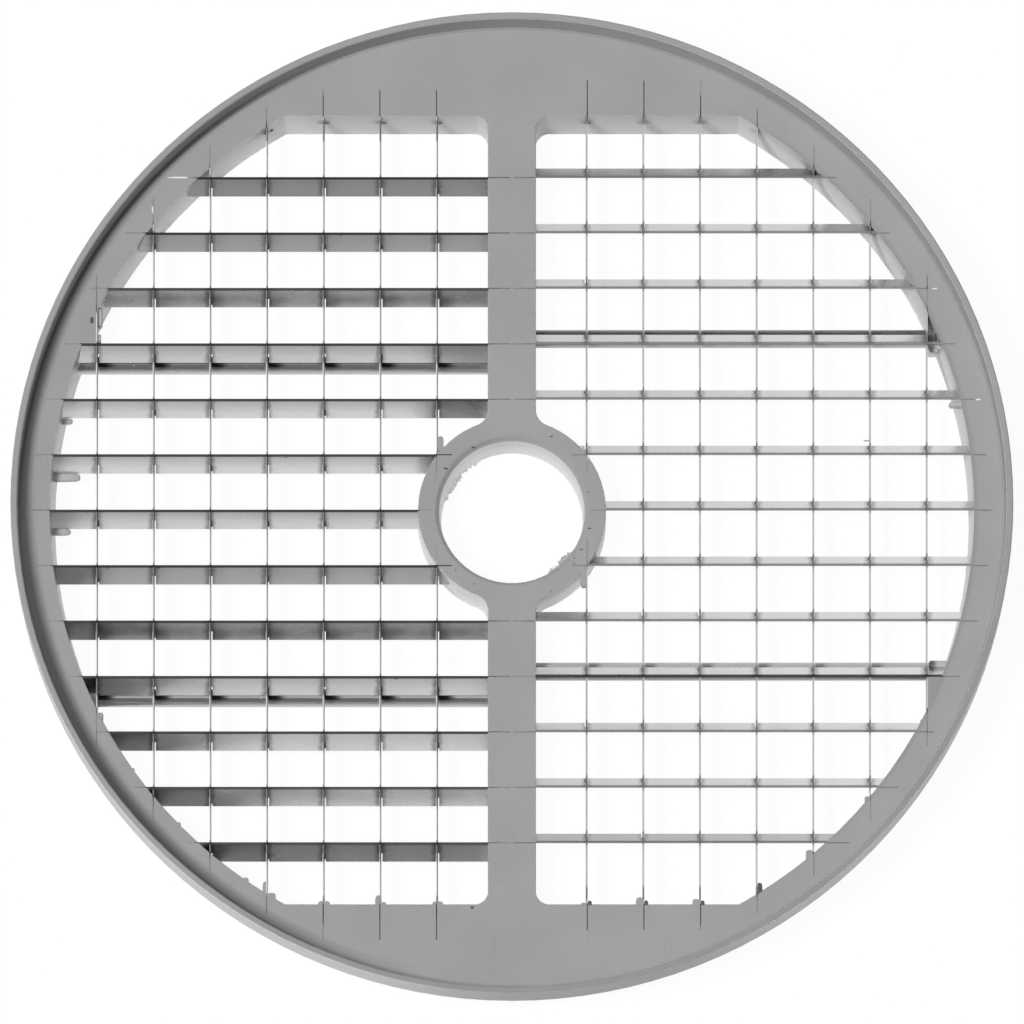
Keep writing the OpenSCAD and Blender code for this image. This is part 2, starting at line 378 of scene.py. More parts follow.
def plus(tree, first, second):
    return math_node(tree, "ADD", first, second)


def minus(tree, first, second):
    return math_node(tree, "SUBTRACT", first, second)


def unsigned(tree, value):
    return math_node(tree, "ABSOLUTE", value)


def ramp(tree, value, low, high, to_low=0.0, to_high=1.0):
    """Value between two levels, eased and clamped."""
    node = add(tree, "ShaderNodeMapRange", {
        "Value": value, "From Min": low, "From Max": high, "To Min": to_low, "To Max": to_high,
    }, interpolation_type="SMOOTHSTEP")
    return node.outputs["Result"]


def fade(tree, value, low, high):
    """Ramp that falls from one to zero."""
    return ramp(tree, value, low, high, 1.0, 0.0)


def mix_colour(tree, share, first, second, blend="MIX"):
    node = add(tree, "ShaderNodeMix", {0: share, 6: first, 7: second}, data_type="RGBA", blend_type=blend)
    return node.outputs[2]


def dimmed(tree, tone, level):
    """Tone times a level."""
    shade = add(tree, "ShaderNodeCombineColor", {0: level, 1: level, 2: level}).outputs[0]
    return mix_colour(tree, 1.0, tone, shade, "MULTIPLY")


def noise(tree, position, scale, detail=2.0, stretch=None, turn=0.0):
    """Noise over a position, stretched and turned first where it is asked for."""
    if stretch:
        mapping = add(tree, "ShaderNodeMapping", {
            "Vector": position, "Rotation": (0, 0, turn), "Scale": stretch})
        position = mapping.outputs["Vector"]
    node = add(tree, "ShaderNodeTexNoise", {"Vector": position, "Scale": scale, "Detail": detail})
    return node.outputs["Fac"]


def new_group(name, inputs, outputs, kind="ShaderNodeTree"):
    """New node group with named inputs and outputs: its tree, what it is given and what it has to give."""
    tree = bpy.data.node_groups.new(name, kind)
    for way, sockets in (("INPUT", inputs), ("OUTPUT", outputs)):
        for label, value in sockets:
            tree.interface.new_socket(label, in_out=way, socket_type="NodeSocket" + value)
    return tree, add(tree, "NodeGroupInput").outputs, add(tree, "NodeGroupOutput").inputs


def times(tree, *values):
    """Product of values."""
    product = values[0]
    for value in values[1:]:
        product = math_node(tree, "MULTIPLY", product, value)
    return product


def most(tree, *values):
    """Largest of values."""
    top = values[0]
    for value in values[1:]:
        top = math_node(tree, "MAXIMUM", top, value)
    return top


def axes(tree, place):
    return add(tree, "ShaderNodeSeparateXYZ", {0: place}).outputs


def level_ray(tree, place):
    return add(tree, "ShaderNodeVectorMath", {0: place, 1: (1, 1, 0)}, operation="MULTIPLY").outputs[0]


def from_axis(tree, place):
    """Distance from the shaft axis."""
    return add(tree, "ShaderNodeVectorMath", {0: level_ray(tree, place)}, operation="LENGTH").outputs["Value"]


def facing(tree, place, turn, full, none):
    """Sector about the shaft axis: full up to one angle from its middle, and none beyond another."""
    ray = add(tree, "ShaderNodeVectorMath", {0: level_ray(tree, place)}, operation="NORMALIZE").outputs[0]
    middle, near, far = (math.radians(angle) for angle in (turn, full, none))
    way = (math.cos(middle), math.sin(middle), 0)
    along = add(tree, "ShaderNodeVectorMath", {0: ray, 1: way}, operation="DOT_PRODUCT").outputs["Value"]
    return ramp(tree, along, math.cos(far), math.cos(near))


def beside_cross(tree, along):
    """Distance outward from the nearest cross blade, less than zero on the hub's side of it."""
    start = minus(tree, unsigned(tree, along), FIRST_CROSS_X)
    return math_node(tree, "WRAP", start, PITCH / 2, -PITCH / 2)


def lip_painted_light(tree, place, own, tone, lit_wall_tone):
    """Tone of the lip's sides with painted light, and the mask of them: the outer wall painted lighter where it
    faces the lower left and the lower right, the inner wall lighter towards the right where it is lit.
    """
    rise = axes(tree, place)["Z"]
    outward = ramp(tree, from_axis(tree, place), RIM_R - 0.9 * MM, RIM_R - 0.7 * MM)
    under_top = fade(tree, rise, LIP_Z - 0.12 * MM, LIP_Z - 0.02 * MM)
    outer = times(tree, outward, under_top)
    inner = times(
        tree, minus(tree, 1.0, outward), under_top,
        ramp(tree, rise, FACE_Z + 0.4 * MM, FACE_Z + 0.55 * MM))
    # Painted light: the outer wall is lighter where it faces the lower left and the lower right.
    bright = most(
        tree, times(tree, facing(tree, place, 228, 16, 44), 0.92),
        times(tree, facing(tree, place, 322, 10, 34), 0.6))
    own = mix_colour(tree, outer, own, mix_colour(tree, bright, tone, lit_wall_tone))
    # Painted light: the inner wall is lighter towards the right, where it is lit.
    lit = ramp(tree, axes(tree, place)["X"], -60 * MM, 30 * MM, 0.0, 0.5)
    own = mix_colour(tree, inner, own, mix_colour(tree, lit, tone, lit_wall_tone))
    return own, most(tree, outer, inner)


def painted_shade_and_dark_band(tree, place):
    """Painted shade in the corner of the lip at the upper left, a painted widening of the lip's shadow at the
    lower left, painted shade on the lip's top at the lower right and round the voids where the strips leave the
    top wall, and a darker band on the face beside the windows at the right.
    """
    spot = axes(tree, place)
    rise = spot["Z"]
    reach = from_axis(tree, place)
    corner = times(
        tree, ramp(tree, reach, RIM_R - 2.25 * MM, RIM_R - 1.5 * MM),
        fade(tree, reach, RIM_R - 0.9 * MM, RIM_R - 0.7 * MM),
        ramp(tree, rise, FACE_Z + 3.6 * MM, FACE_Z + 0.6 * MM), facing(tree, place, 150, 14, 40), 0.72)
    spread = times(
        tree, ramp(tree, reach, RIM_R - 5.0 * MM, RIM_R - 3.8 * MM),
        fade(tree, reach, RIM_R - 3.4 * MM, RIM_R - 2.4 * MM), facing(tree, place, 217, 18, 45), 0.28)
    crown = times(
        tree, ramp(tree, rise, LIP_Z - 0.12 * MM, LIP_Z - 0.02 * MM), facing(tree, place, 295, 40, 75), 0.13)
    on_face = ramp(tree, rise, FACE_Z - 0.3 * MM, FACE_Z - 0.1 * MM)
    strip = times(
        tree, fade(tree, reach, WINDOW_R + 0.1 * MM, WINDOW_R + 1.1 * MM),
        ramp(tree, reach, 60 * MM, 65 * MM), on_face, facing(tree, place, 8, 35, 62), 0.14)
    aside = unsigned(tree, beside_cross(tree, spot["X"]))
    aloft = unsigned(tree, minus(tree, rise, STRIP_FOOT_Z + 0.6 * MM))
    wall_shade = times(
        tree, ramp(tree, spot["Y"], 68.5 * MM, 69.5 * MM), fade(tree, reach, WINDOW_R, WINDOW_R + MM),
        fade(tree, aside, 0.3 * MM, 1.7 * MM), fade(tree, aloft, 0.3 * MM, 1.8 * MM), 0.5)
    return most(tree, corner, spread, crown, strip, wall_shade)


def moulded_surface():
    """Drift of tone, fine texture, scuffs and specks of moulded plastic, with painted light: paler walls below
    the face, the lip's sides painted lighter where lit, painted shade at the lip and the top wall, and a darker
    band beside the windows.
    """
    name = "Moulded Surface"
    if name in bpy.data.node_groups:
        return bpy.data.node_groups[name]
    tree, given, wanted = new_group(
        name,
        [("Position", "Vector"), ("Tone", "Color"), ("Lit Wall Tone", "Color"), ("Brightly Lit Tone", "Color"),
         ("Mottle", "Float"), ("Specks", "Float")],
        [("Tone", "Color"), ("Roughness", "Float"), ("Height", "Float")])
    place = given["Position"]
    rise = axes(tree, place)["Z"]
    reach = from_axis(tree, place)
    mouth = ramp(tree, reach, MOUTH_R + 0.1 * MM, MOUTH_R + 0.3 * MM, MOUTH_DEPTH * 0.7, 0.0)
    below = fade(tree, plus(tree, rise, mouth), FACE_Z - 0.13 * MM, FACE_Z - 0.01 * MM)
    below = most(tree, below, ramp(tree, reach, MOUTH_R - 0.5 * MM, MOUTH_R - 0.3 * MM, 0.1, 0.0))
    inside = fade(tree, reach, WINDOW_R + 0.8 * MM, WINDOW_R + 1.6 * MM)
    below = times(tree, below, inside, ramp(tree, rise, 0.1 * MM, 0.4 * MM))
    in_bore = fade(tree, reach, MOUTH_R + 0.2 * MM, MOUTH_R + 0.6 * MM)
    bore_share = ramp(tree, facing(tree, place, 165, 15, 75), 0.0, 1.0, 0.33, 1.0)
    about_hub = fade(tree, reach, 25 * MM, 30 * MM)
    about_hub = times(tree, about_hub, ramp(tree, in_bore, 0.0, 1.0, 1.0, bore_share))
    at_left = times(tree, ramp(tree, reach, 60 * MM, 65 * MM), facing(tree, place, 162, 32, 50))
    worked = minus(tree, 1.0, below)
    from_line = unsigned(tree, minus(tree, rise, STRIP_FOOT_Z))
    line = fade(tree, from_line, 0.05 * MM, 0.16 * MM)
    drift = noise(tree, place, 70, 3)
    fine = noise(tree, place, 2600, 3)
    both = math_node(tree, "MULTIPLY_ADD", fine, 0.6, drift)
    swing = times(tree, minus(tree, both, 0.8), given["Mottle"])
    level = math_node(tree, "MULTIPLY_ADD", swing, 2.0, 1.0)
    # Painted light: walls below the face are paler for the light from the table, palest round the hub, in the
    # bore towards its upper left, and at the left of the grid.
    wall = mix_colour(tree, most(tree, about_hub, at_left), given["Lit Wall Tone"], given["Brightly Lit Tone"])
    own = mix_colour(tree, below, given["Tone"], wall)
    own, lip = lip_painted_light(tree, place, own, given["Tone"], given["Lit Wall Tone"])
    toned = dimmed(tree, own, level)
    line_share = ramp(tree, reach, 25 * MM, 30 * MM, 0.35, 0.1)
    toned = mix_colour(tree, times(tree, line, line_share), toned, grey(WITNESS_LINE))
    # Painted shade at the lip and the top wall, and a darker band on the face beside the windows.
    toned = mix_colour(tree, painted_shade_and_dark_band(tree, place), toned, grey(SHADE_AND_BAND_DARK))
    scuff_a = ramp(tree, noise(tree, place, 1.0, 2, (60, 3600, 60), 0.45), 0.66, 0.74)
    scuff_b = ramp(tree, noise(tree, place, 1.0, 2, (3000, 50, 50), 0.2), 0.68, 0.76)
    patch = ramp(tree, noise(tree, place, 45, 1), 0.5, 0.7)
    scuffs = times(tree, most(tree, scuff_a, scuff_b), patch, worked)
    scuffed = mix_colour(tree, times(tree, scuffs, 0.26), toned, grey(SCUFF))
    cells = add(tree, "ShaderNodeTexVoronoi", {"Vector": place, "Scale": 150})
    picked = add(tree, "ShaderNodeSeparateColor", {0: cells.outputs["Color"]}).outputs
    apart = minus(tree, cells.outputs["Distance"], times(tree, picked[0], 0.085))
    speck = times(tree, ramp(tree, apart, 0.0, -0.03), ramp(tree, picked[1], 0.5, 0.8))
    share = times(tree, speck, given["Specks"], worked)
    stained = mix_colour(tree, share, scuffed, grey(SPECK))
    tree.links.new(stained, wanted["Tone"])
    rough = math_node(tree, "MULTIPLY_ADD", drift, 0.16, 0.4)
    rough = plus(tree, rough, times(tree, scuffs, 0.1))
    rough = minus(tree, rough, times(tree, below, 0.1))
    tree.links.new(rough, wanted["Roughness"])
    height = minus(tree, fine, times(tree, scuffs, 0.5))
    smooth = minus(tree, 1.0, most(tree, below, lip))
    tree.links.new(times(tree, height, smooth), wanted["Height"])
    return tree


def drawn_steel():
    """Long streaks of rolled and drawn steel, with smears left by washing."""
    name = "Drawn Steel"
    if name in bpy.data.node_groups:
        return bpy.data.node_groups[name]
    tree, given, wanted = new_group(
        name,
        [("Position", "Vector"), ("Tone", "Color"), ("Streaks", "Float"), ("Smears", "Float")],
        [("Tone", "Color"), ("Roughness", "Float"), ("Height", "Float")])
    streaks = add(tree, "ShaderNodeTexNoise", {"Vector": given["Position"], "Scale": 1.0, "Detail": 3.0})
    place = add(tree, "ShaderNodeTexCoord").outputs["Object"]
    smears = noise(tree, place, 190, 3)
    streak = times(tree, minus(tree, streaks.outputs["Fac"], 0.5), given["Streaks"])
    smear = times(tree, minus(tree, smears, 0.5), given["Smears"])
    level = plus(tree, plus(tree, streak, smear), 1.0)
    tree.links.new(dimmed(tree, given["Tone"], level), wanted["Tone"])
    tree.links.new(math_node(tree, "MULTIPLY_ADD", smears, 0.22, 0.14), wanted["Roughness"])
    tree.links.new(streaks.outputs["Fac"], wanted["Height"])
    return tree


def end_finish(tree, tone, rough, height, grain, depth):
    """Joins finished values to the shader of a material, and returns its inputs."""
    inputs = tree.nodes["Principled BSDF"].inputs
    bump = add(tree, "ShaderNodeBump", {"Strength": grain, "Distance": depth, "Height": height})
    for name, value in (("Base Color", tone), ("Roughness", rough), ("Normal", bump.outputs["Normal"])):
        tree.links.new(value, inputs[name])
    return inputs


def plastic(name, tone, lit_wall_tone, brightly_lit_tone, mottle, specks):
    material, tree = new_material(name)
    place = add(tree, "ShaderNodeTexCoord").outputs["Object"]
    made = add(tree, "ShaderNodeGroup", {
        "Position": place, "Tone": colour(tone), "Lit Wall Tone": colour(lit_wall_tone), "Brightly Lit Tone": colour(brightly_lit_tone),
        "Mottle": mottle, "Specks": specks}, node_tree=moulded_surface()).outputs
    inputs = end_finish(tree, made["Tone"], made["Roughness"], made["Height"], *PLASTIC_GRAIN)
    inputs["IOR"].default_value = 1.5
    return material


def start_steel(name, tone, stretch, streaks, smears):
    """New steel with its grain along one axis: the material, its tree, place, tone, roughness and height."""
    material, tree = new_material(name)
    place = add(tree, "ShaderNodeTexCoord").outputs["Object"]
    grain = add(tree, "ShaderNodeMapping", {"Vector": place, "Scale": stretch})
    made = add(tree, "ShaderNodeGroup", {
        "Position": grain.outputs["Vector"], "Tone": colour(tone), "Streaks": streaks, "Smears": smears},
        node_tree=drawn_steel()).outputs
    return material, tree, place, made["Tone"], made["Roughness"], made["Height"]


def end_steel(tree, tone, rough, height, metal):
    inputs = end_finish(tree, tone, rough, height, *STEEL_GRAIN)
    tree.links.new(metal, inputs["Metallic"])


def film(tree, place, ring, hub, spoke=0.0):
    """Skin of plastic over the edges of strips that lie in the ring, in the hub and in the spoke."""
    reach = from_axis(tree, place)
    patchy = ramp(tree, noise(tree, place, 60, 2), 0.3, 0.6, 0.6, 1.0)
    over_ring = times(tree, ramp(tree, reach, WINDOW_R, WINDOW_R + 0.8 * MM), patchy, ring)
    over_hub = ramp(tree, reach, HUB_R - 0.6 * MM, HUB_R - 0.2 * MM, hub, 0.0)
    aside = unsigned(tree, axes(tree, place)["X"])
    over_spoke = times(tree, ramp(tree, aside, SPOKE_HALF - 0.3 * MM, SPOKE_HALF, spoke, 0.0), patchy)
    return most(tree, over_ring, over_hub, over_spoke)


def row_steel(name, tone, top_shade, left, ground_depth, dull, hub_film, spoke_film):
    """Strip of a row: painted reflection and shade of the cross blades beside the laps, painted shade at the top,
    darker towards the middle on the right, and ground at the cutting edge.
    """
    trail, drift, ring_film = (0.12, 0.0, 0.92) if left else (0.0, 0.2, 0.5)
    material, tree, place, tone, rough, height = start_steel(name, tone, (110, 5200, 5200), *STRIP_STREAKS)
    spot = axes(tree, place)
    aside = beside_cross(tree, spot["X"])
    # Uneven reach of the painted reflection and shade beside the laps.
    darkening = times(tree, noise(tree, place, 800, 2), 0.9 * MM)
    near = plus(tree, unsigned(tree, aside), darkening)
    lap_shade_and_reflection = ramp(tree, near, 0.6 * MM, 1.9 * MM, 0.66, 0.0)
    behind = times(
        tree, ramp(tree, aside, -3.4 * MM, -0.2 * MM, 0.0, trail), fade(tree, aside, 0.0, 0.5 * MM))
    shade = ramp(tree, spot["Z"], FACE_Z - 3.8 * MM, FACE_Z - 0.4 * MM, 0.0, top_shade)
    far = ramp(tree, unsigned(tree, spot["X"]), 5 * MM, 78 * MM, drift, 0.0)
    # Painted reflection and shade beside the laps and at the top, and darker towards the middle on the right.
    tone = mix_colour(tree, most(tree, lap_shade_and_reflection, behind, shade, far), tone, grey(STRIP_SHADE_AND_REFLECTION))
    ground = ramp(tree, spot["Z"], FACE_Z - ground_depth, FACE_Z - ground_depth * 0.8)
    height = add(tree, "ShaderNodeMix", {0: ground, 2: height, 3: noise(tree, place, 5200, 2)}).outputs[0]
    worn = times(tree, ground, ramp(tree, noise(tree, place, 620, 2), 0.68, 0.74))
    tone = mix_colour(tree, times(tree, ground, 0.35 + 0.5 * dull), tone, grey(GROUND))
    rough = plus(tree, rough, times(tree, worn, 0.4))
    skin = film(tree, place, ring_film, hub_film, spoke_film)
    tone = mix_colour(tree, skin, tone, grey(FILM))
    coated = most(tree, skin, times(tree, ground, dull))
    end_steel(tree, tone, rough, height, minus(tree, 1.0, coated))
    return material


def cross_steel(name, tone, edge_tone, lap_start, lap_end, hub_film):
    """Strip of a cross blade: its edge dulled between the rows and darker where the rows pass."""
    material, tree, place, tone, rough, height = start_steel(name, tone, (5200, 110, 5200), *STRIP_STREAKS)
    spot = axes(tree, place)
    along = math_node(tree, "WRAP", spot["Y"], PITCH / 2, -PITCH / 2)
    lap = times(
        tree, ramp(tree, along, lap_start - 0.5 * MM, lap_start + 0.4 * MM),
        fade(tree, along, lap_end - 0.2 * MM, lap_end + 0.5 * MM))
    edge = ramp(tree, spot["Z"], FACE_Z - 0.66 * MM, FACE_Z - 0.6 * MM)
    free = fade(tree, from_axis(tree, place), WINDOW_R - 0.2 * MM, WINDOW_R)
    flat = fade(tree, unsigned(tree, spot["Y"]), FLAT_Y - 0.3 * MM, FLAT_Y)
    dulled = times(tree, edge, free, flat, 0.9)
    tone = mix_colour(tree, dulled, tone, colour(edge_tone))
    # Darker where the rows pass the cross blade.
    tone = mix_colour(tree, times(tree, lap, 0.7), tone, grey(LAP_DARK))
    skin = film(tree, place, 0.78, hub_film)
    tone = mix_colour(tree, skin, tone, grey(FILM))
    rough = plus(tree, rough, times(tree, dulled, 0.3))
    end_steel(tree, tone, rough, height, minus(tree, 1.0, most(tree, dulled, skin)))
    return material


def rod_steel(name, tone, middle, radius, wedge, glint, crown, sole, sole_start):
    """Rod in drawn steel, with a painted dark reflection of each cross blade, a painted highlight along its
    crest, and painted pale reflections on its top and its sole.
    """
    material, tree, place, tone, rough, height = start_steel(name, tone, (70, 3600, 3600), *ROD_STREAKS)
    spot = axes(tree, place)
    start = minus(tree, FIRST_CROSS_X, unsigned(tree, spot["X"]))
    along = math_node(tree, "WRAP", start, PITCH, 0.0)
    over = math_node(tree, "DIVIDE", minus(tree, spot["Y"], middle), radius)
    dark = times(tree, ramp(tree, along, 1.2 * MM, 3.8 * MM, wedge, 0.0), ramp(tree, over, -0.5, -0.3))
    crest = ramp(tree, unsigned(tree, plus(tree, over, 0.02)), 0.12, 0.24, 1.0, 0.0)
    shine = times(tree, crest, ramp(tree, along, 1.8 * MM, 4.0 * MM, 0.0, glint))
    # Painted reflection of the cross blades, painted highlight along the crest, and painted pale reflections on
    # the top and sole.
    tone = mix_colour(tree, dark, tone, grey(MIRRORED))
    tone = mix_colour(tree, shine, tone, grey(CREST_HIGHLIGHT))
    pale = most(
        tree, ramp(tree, over, sole_start, sole_start - 0.2, 0.0, sole), ramp(tree, over, 0.1, 0.3, 0.0, crown))
    tone = mix_colour(tree, pale, tone, grey(PALE_REFLECTION))
    metal = minus(tree, 0.86, times(tree, most(tree, shine, pale), 0.7))
    end_steel(tree, tone, rough, height, plus(tree, metal, times(tree, dark, 0.14)))
    return material


def finish_node(name, material):
    """Gives a frame node its finish."""
    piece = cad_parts[name]
    for slot in piece.material_slots:
        slot.material = material


def place_piece(name, mesh, material):
    """Links a finished mesh as a piece of the object."""
    piece = new_object(name, mesh)
    if material:
        mesh.materials.clear()
        mesh.materials.append(material)
    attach(piece, BODY)
    return piece


def in_window(point):
    """True inside a window of the frame or on its edge, away from the webs."""
    reach = math.hypot(point.x, point.y)
    slack = 0.05 * MM
    return (
        reach < WINDOW_R + slack
        and reach > HUB_R - slack
        and abs(point.x) > SPOKE_HALF - slack
        and abs(point.x) < WEB_X
        and abs(point.y) < FLAT_Y + slack
    )


def is_corner(edge):
    """True where an upright wall meets a level face at an outward edge."""
    if len(edge.link_faces) != 2 or not edge.is_convex:
        return False
    levels = sorted(abs(face.normal.z) for face in edge.link_faces)
    return levels[0] < 0.4 and levels[1] > 0.98


def turned_normals(mesh):
    """Normals that follow the round walls about the shaft axis, and the flat faces elsewhere."""
    normals = [None] * len(mesh.loops)
    for face in mesh.polygons:
        flat = face.normal
        level = math.hypot(flat.x, flat.y)
        out = Vector((face.center.x, face.center.y, 0)).normalized()
        round_wall = level > 0.05 and abs(flat.x * out.x + flat.y * out.y) > 0.996 * level
        side = 1 if flat.x * out.x + flat.y * out.y > 0 else -1
        for loop in face.loop_indices:
            normals[loop] = flat
            if round_wall:
                corner = mesh.vertices[mesh.loops[loop].vertex_index].co
                ray = Vector((corner.x, corner.y, 0)).normalized() * side * level
                normals[loop] = Vector((ray.x, ray.y, flat.z))
    mesh.normals_split_custom_set(normals)


def ease_bore(shape):
    """Deepens the rounded mouth of the bore and narrows the bore a little towards the back."""
    for vertex in shape.verts:
        reach = math.hypot(vertex.co.x, vertex.co.y)
        if reach > MOUTH_R + 0.05 * MM:
            continue
        depth = FACE_Z - vertex.co.z
        if depth < BORE_ROUND + 0.05 * MM:
            wanted = BORE_R + MOUTH_EASE + (reach - BORE_R) * MOUTH_SHARE
            vertex.co.z = FACE_Z - depth * MOUTH_DEPTH / BORE_ROUND
        else:
            wanted = reach - BORE_TAPER
        vertex.co.x *= wanted / reach
        vertex.co.y *= wanted / reach


class DICING_OT_moulding(Operator):
    """Frame with rounded window edges, in grey moulded plastic"""

    bl_idname = "dicing.moulding"
    bl_label = "Moulded Frame"

    def execute(self, context):
        chosen = settings().moulding
        shape = bmesh.new()
        shape.from_mesh(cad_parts["frame"].data)
        bmesh.ops.remove_doubles(shape, verts=shape.verts, dist=1e-6)
        ease_bore(shape)
        shape.normal_update()
        rims = [
            edge for edge in shape.edges
            if is_corner(edge) and all(in_window(v.co) for v in edge.verts)]
        if not rims:
            raise RuntimeError("the frame has no window edges to round")
        bmesh.ops.bevel(
            shape, geom=rims, offset=chosen.edge_round, offset_type="OFFSET", segments=3, profile=0.5,
            affect="EDGES", clamp_overlap=False, loop_slide=True)
        mesh = to_mesh(shape, "moulded_frame")
        mesh.shade_smooth()
        turned_normals(mesh)
        material = plastic(
            "grey_moulding", chosen.tone, chosen.lit_wall_tone, chosen.brightly_lit_tone, chosen.mottle, chosen.specks)
        piece = place_piece("moulded_frame", mesh, material)
        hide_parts("frame")
        return {"FINISHED"}


class DICING_OT_rows(Operator):
    """Slanted row blades in rolled strip steel, ground at the cutting edge"""

    bl_idname = "dicing.rows"
    bl_label = "Row Blades"

    def execute(self, context):
        chosen = settings().blades
        made = {}
        for name in ROWS:
            left = name.startswith("left")
            dull = 0.0 if left or name == KEEN else DULLED
            # Brightness and top shade of each row are painted for the reflections and shade it shows.
            kind = (*ROW_LIGHT.get(name, (1.0, 0.0)), left, dull, name.endswith("_7"))
            if kind not in made:
                share, top_shade, _, _, middle = kind
                tone = [min(1.0, level * share) for level in chosen.steel]
                made[kind] = row_steel(
                    f"{name}_steel", tone, top_shade, left, chosen.ground_depth, dull, 1.0 if middle else 0.0,
                    1.0 if name == KEEN else 0.5 if left else 0.0)
            finish_node(name, made[kind])
        return {"FINISHED"}


class DICING_OT_crosses(Operator):
    """Upright cross blades in rolled strip steel, dulled at the cutting edge"""

    bl_idname = "dicing.crosses"
    bl_label = "Cross Blades"

    def execute(self, context):
        chosen = settings().blades
        pale = [min(1.0, level * PALE_EDGE) for level in chosen.cross_edge]
        finishes = {
            "left": cross_steel("left_cross_steel", chosen.steel, pale, -3.4 * MM, 0.3 * MM, 0.8),
            "right": cross_steel("right_cross_steel", chosen.steel, chosen.cross_edge, -0.3 * MM, 2.0 * MM, 1.0),
        }
        for name in CROSSES:
            finish_node(name, finishes[name.split("_")[0]])
        return {"FINISHED"}


class DICING_OT_rods(Operator):
    """Round rods behind the grid, in drawn steel"""

    bl_idname = "dicing.rods"
    bl_label = "Support Rods"

    def execute(self, context):
        chosen = settings().blades
        for name in RODS:
            low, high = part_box(name)
            # The rods on the right are painted darker for the darker reflections they show.
            tone = [level * (1.0 if "_left_" in name else RIGHT_ROD_SHADE) for level in chosen.rod_steel]
            finish = rod_steel(
                f"{name}_steel", tone, (low.y + high.y) / 2, (high.y - low.y) / 2, *ROD_LOOKS[name])
            finish_node(name, finish)
        return {"FINISHED"}


def lump_tree():
    """Uneven lumps of a given size at given points, rounded all over or flat on top."""
    tree, given, wanted = new_group(
        "Flash Lumps",
        [("Geometry", "Geometry"), ("Rounded", "Bool"), ("Fineness", "Int"), ("Squareness", "Float"),
         ("Raggedness", "Float"), ("Seed", "Float"), ("Finish", "Material")],
        [("Geometry", "Geometry")], "GeometryNodeTree")
    block = add(tree, "GeometryNodeMeshCube", {"Size": (1, 1, 1)})
    lump = add(tree, "GeometryNodeSubdivisionSurface", {
        "Mesh": block.outputs["Mesh"], "Level": given["Fineness"], "Edge Crease": given["Squareness"]})
    disc = add(tree, "GeometryNodeMeshCylinder", {"Vertices": 28, "Radius": 0.5, "Depth": 1.0})
    spot = axes(tree, add(tree, "GeometryNodeInputPosition").outputs[0])
    cubes = [math_node(tree, "POWER", unsigned(tree, spot[axis]), 3.0) for axis in "XY"]
    widen = math_node(tree, "DIVIDE", 0.5, math_node(tree, "POWER", plus(tree, *cubes), 1 / 3))
    squared = add(tree, "ShaderNodeCombineXYZ", {
        "X": times(tree, spot["X"], widen), "Y": times(tree, spot["Y"], widen), "Z": spot["Z"]})
    tab = add(tree, "GeometryNodeSetPosition", {
        "Geometry": disc.outputs["Mesh"], "Position": squared.outputs[0]})
    kind = add(tree, "GeometryNodeSwitch", {
        "Switch": given["Rounded"], "False": tab.outputs[0], "True": lump.outputs["Mesh"]}, input_type="GEOMETRY")
    scale = add(tree, "GeometryNodeInputNamedAttribute", {"Name": "size"}, data_type="FLOAT_VECTOR")
    placed = add(tree, "GeometryNodeInstanceOnPoints", {
        "Points": given["Geometry"], "Instance": kind.outputs[0], "Scale": scale.outputs["Attribute"]})
    whole = add(tree, "GeometryNodeRealizeInstances", {"Geometry": placed.outputs["Instances"]})
    uneven = add(tree, "ShaderNodeTexNoise", {
        "Vector": add(tree, "GeometryNodeInputPosition").outputs[0], "W": given["Seed"],
        "Scale": 900, "Detail": 2}, noise_dimensions="4D")
    swing = times(tree, minus(tree, uneven.outputs["Fac"], 0.5), given["Raggedness"])
    push = add(tree, "ShaderNodeVectorMath", {
        0: add(tree, "GeometryNodeInputNormal").outputs[0], "Scale": swing}, operation="SCALE")
    rough = add(tree, "GeometryNodeSetPosition", {"Geometry": whole.outputs[0], "Offset": push.outputs[0]})
    smooth = add(tree, "GeometryNodeSetShadeSmooth", {
        "Geometry": rough.outputs[0], "Shade Smooth": given["Rounded"]})
    finished = add(tree, "GeometryNodeSetMaterial", {"Geometry": smooth.outputs[0], "Material": given["Finish"]})
    tree.links.new(finished.outputs[0], wanted["Geometry"])
    return tree


def lumps(name, tree, places, rounded, fineness, squareness, raggedness, seed, material):
    """One mesh of lumps, made from their middles and sizes in millimetres."""
    points = bpy.data.meshes.new(name + "_points")
    points.from_pydata([[v * MM for v in middle] for middle, size in places], [], [])
    sizes = points.attributes.new("size", "FLOAT_VECTOR", "POINT")
    sizes.data.foreach_set("vector", [v * MM for middle, size in places for v in size])
    maker = new_object(name + "_points", points)
    modifier = maker.modifiers.new("lumps", "NODES")
    keys = {item.name: item.identifier for item in tree.interface.items_tree if item.in_out == "INPUT"}
    modifier.node_group = tree
    for label, value in (
            ("Rounded", rounded), ("Fineness", fineness), ("Squareness", squareness), ("Raggedness", raggedness),
            ("Seed", float(seed)), ("Finish", material)):
        modifier[keys[label]] = value
    mesh = bpy.data.meshes.new_from_object(maker.evaluated_get(bpy.context.evaluated_depsgraph_get()))
    bpy.data.objects.remove(maker)
    if len(mesh.polygons) < 6 * len(places):
        raise RuntimeError(f"{name} came out empty")
    mesh.name = name
    return mesh


def at_height(places, middle, depth):
    """Middles and sizes of lumps that are given in plan."""
    return [((x, y, middle), (across, along, depth)) for (x, y), (across, along) in places]


